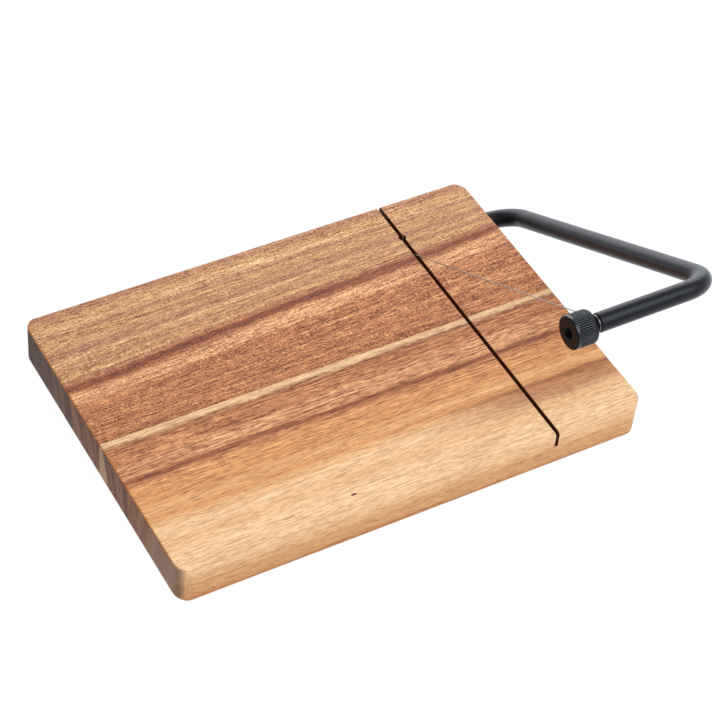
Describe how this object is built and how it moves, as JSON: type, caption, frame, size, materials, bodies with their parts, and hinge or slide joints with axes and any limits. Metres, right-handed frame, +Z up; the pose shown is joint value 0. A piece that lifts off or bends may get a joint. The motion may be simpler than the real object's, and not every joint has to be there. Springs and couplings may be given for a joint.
{
  "type": "cheese wire cutter",
  "caption": "Rectangular wooden cheese board with a cross slot and a swinging bent-rod handle that pulls a taut cutting wire down into it.",
  "frame": {"origin": "middle of the board's underside; the rubber feet reach 2 mm below it", "axes": "+X along the board towards the handle's cross bar, +Y across the board towards the pivot side, +Z up"},
  "size_m": [0.2722, 0.1936, 0.1148],
  "materials": {
    "acacia_heartwood": "oiled, satin",
    "acacia_pale": "oiled, satin",
    "black_coated_steel": "semi-gloss black coat",
    "bright_steel": "bright",
    "wire_steel": "drawn stainless",
    "black_nylon": "matt",
    "grey_rubber": "matt"
  },
  "bodies": {
    "board": {"rear_plank": "acacia_heartwood", "front_plank": "acacia_pale", "pivot_bushing": "black_nylon", "foot_rear_left": "grey_rubber", "foot_rear_right": "grey_rubber", "foot_front_left": "grey_rubber", "foot_front_right": "grey_rubber"},
    "handle": {"handle_rod": "black_coated_steel", "clamp_stud": "bright_steel", "inner_washer": "bright_steel", "cutting_wire": "wire_steel", "wire_ball": "wire_steel", "wire_crimp": "wire_steel"},
    "clamp_washer": {"outer_washer": "bright_steel"},
    "knob": {"tension_knob": "black_coated_steel"}
  },
  "joints": [
    {"name": "handle_swing", "type": "hinge", "parent": "board", "child": "handle", "pos_m": [0.125, 0.0648, 0.011], "axis": [-1, 0, 0], "range_deg": [-30, 145]},
    {"name": "washer_slide", "type": "slide", "parent": "handle", "child": "clamp_washer", "axis": [-1, 0, 0], "range_m": [0, 0.0024]},
    {"name": "knob_turn", "type": "hinge", "parent": "clamp_washer", "child": "knob", "pos_m": [0.07, -0.09715, 0.1045], "axis": [-1, 0, 0], "range_deg": [0, 1080]}
  ],
  "couplings": [
    {"joint": "knob_turn", "follows": "washer_slide", "rad_per_m": 7854}
  ]
}
